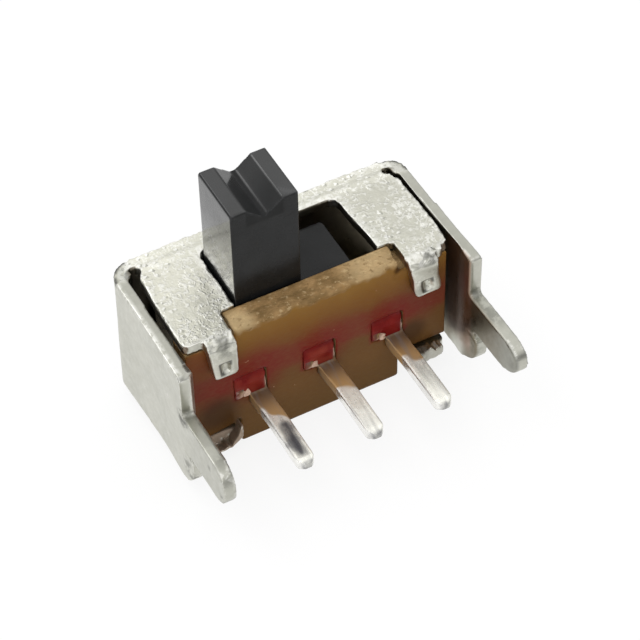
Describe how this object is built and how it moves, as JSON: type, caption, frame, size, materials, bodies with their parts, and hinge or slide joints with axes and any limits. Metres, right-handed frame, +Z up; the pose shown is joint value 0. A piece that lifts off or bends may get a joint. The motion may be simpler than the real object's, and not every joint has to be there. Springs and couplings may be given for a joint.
{
  "type": "slide switch",
  "caption": "Right-angle miniature slide switch: folded tinned frame, laminate terminal board with pins, and a grooved black knob that slides along a slot.",
  "frame": {"origin": "middle of the object's box at the lowest edge of the terminal board, 0.15 mm behind the board's front face", "axes": "+X along the slide, the pins and legs point to -Y, +Z up along the knob"},
  "size_m": [0.0088, 0.0066, 0.0075],
  "materials": {
    "tinned_steel": "tinned sheet, satin with hammered grain",
    "laminate": "punched phenolic paper, fibrous edges",
    "tinned_brass": "tin plated, bright",
    "sealant": "glossy lacquer",
    "black_plastic": "moulded, semi-gloss",
    "bronze": "spring bronze",
    "steel": "polished"
  },
  "bodies": {
    "body": {"frame": "tinned_steel", "terminal_board": "laminate", "terminal_left": "tinned_brass", "terminal_middle": "tinned_brass", "terminal_right": "tinned_brass", "seal_left": "sealant", "seal_middle": "sealant", "seal_right": "sealant"},
    "slider": {"slider": "black_plastic", "moving_contact": "bronze", "detent_ball": "steel", "detent_spring": "steel"}
  },
  "joints": [
    {"name": "slider_travel", "type": "slide", "parent": "body", "child": "slider", "axis": [1, 0, 0], "range_m": [0, 0.002]}
  ]
}
